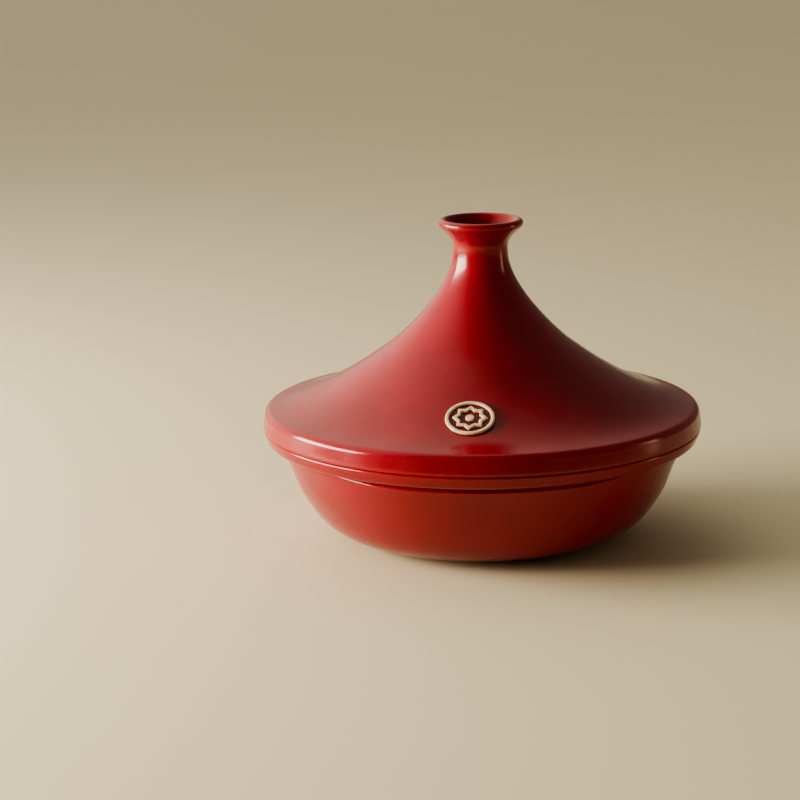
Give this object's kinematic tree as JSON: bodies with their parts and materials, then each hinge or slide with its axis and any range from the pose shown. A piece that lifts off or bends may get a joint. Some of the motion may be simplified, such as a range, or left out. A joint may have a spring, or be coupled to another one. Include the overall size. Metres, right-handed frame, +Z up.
{
  "type": "tagine pot",
  "caption": "Round glazed clay cooking dish with a curved conical lift-off lid that ends in a flared hollow knob, with a round medallion on the lid.",
  "frame": {"origin": "centre of the foot, on the surface the pot stands on", "axes": "+Z up along the axis of the pot; -Y is the front, with the medallion; the finger scoops are on -X and +X"},
  "size_m": [0.326, 0.326, 0.2375],
  "materials": {
    "dish_glaze": "glossy deep red glaze",
    "lid_glaze": "glossy deep red glaze",
    "medallion_glaze": "glossy deep red glaze",
    "bare_clay": "matt cream unglazed clay"
  },
  "bodies": {
    "base": {"dish": "dish_glaze"},
    "cover": {"lid": "lid_glaze", "medallion_plaque": "medallion_glaze", "medallion_ring": "bare_clay", "medallion_star": "bare_clay"}
  },
  "joints": [
    {"name": "lid_lift", "type": "slide", "parent": "base", "child": "cover", "axis": [0, 0, 1], "range_m": [0, 0.15]}
  ]
}
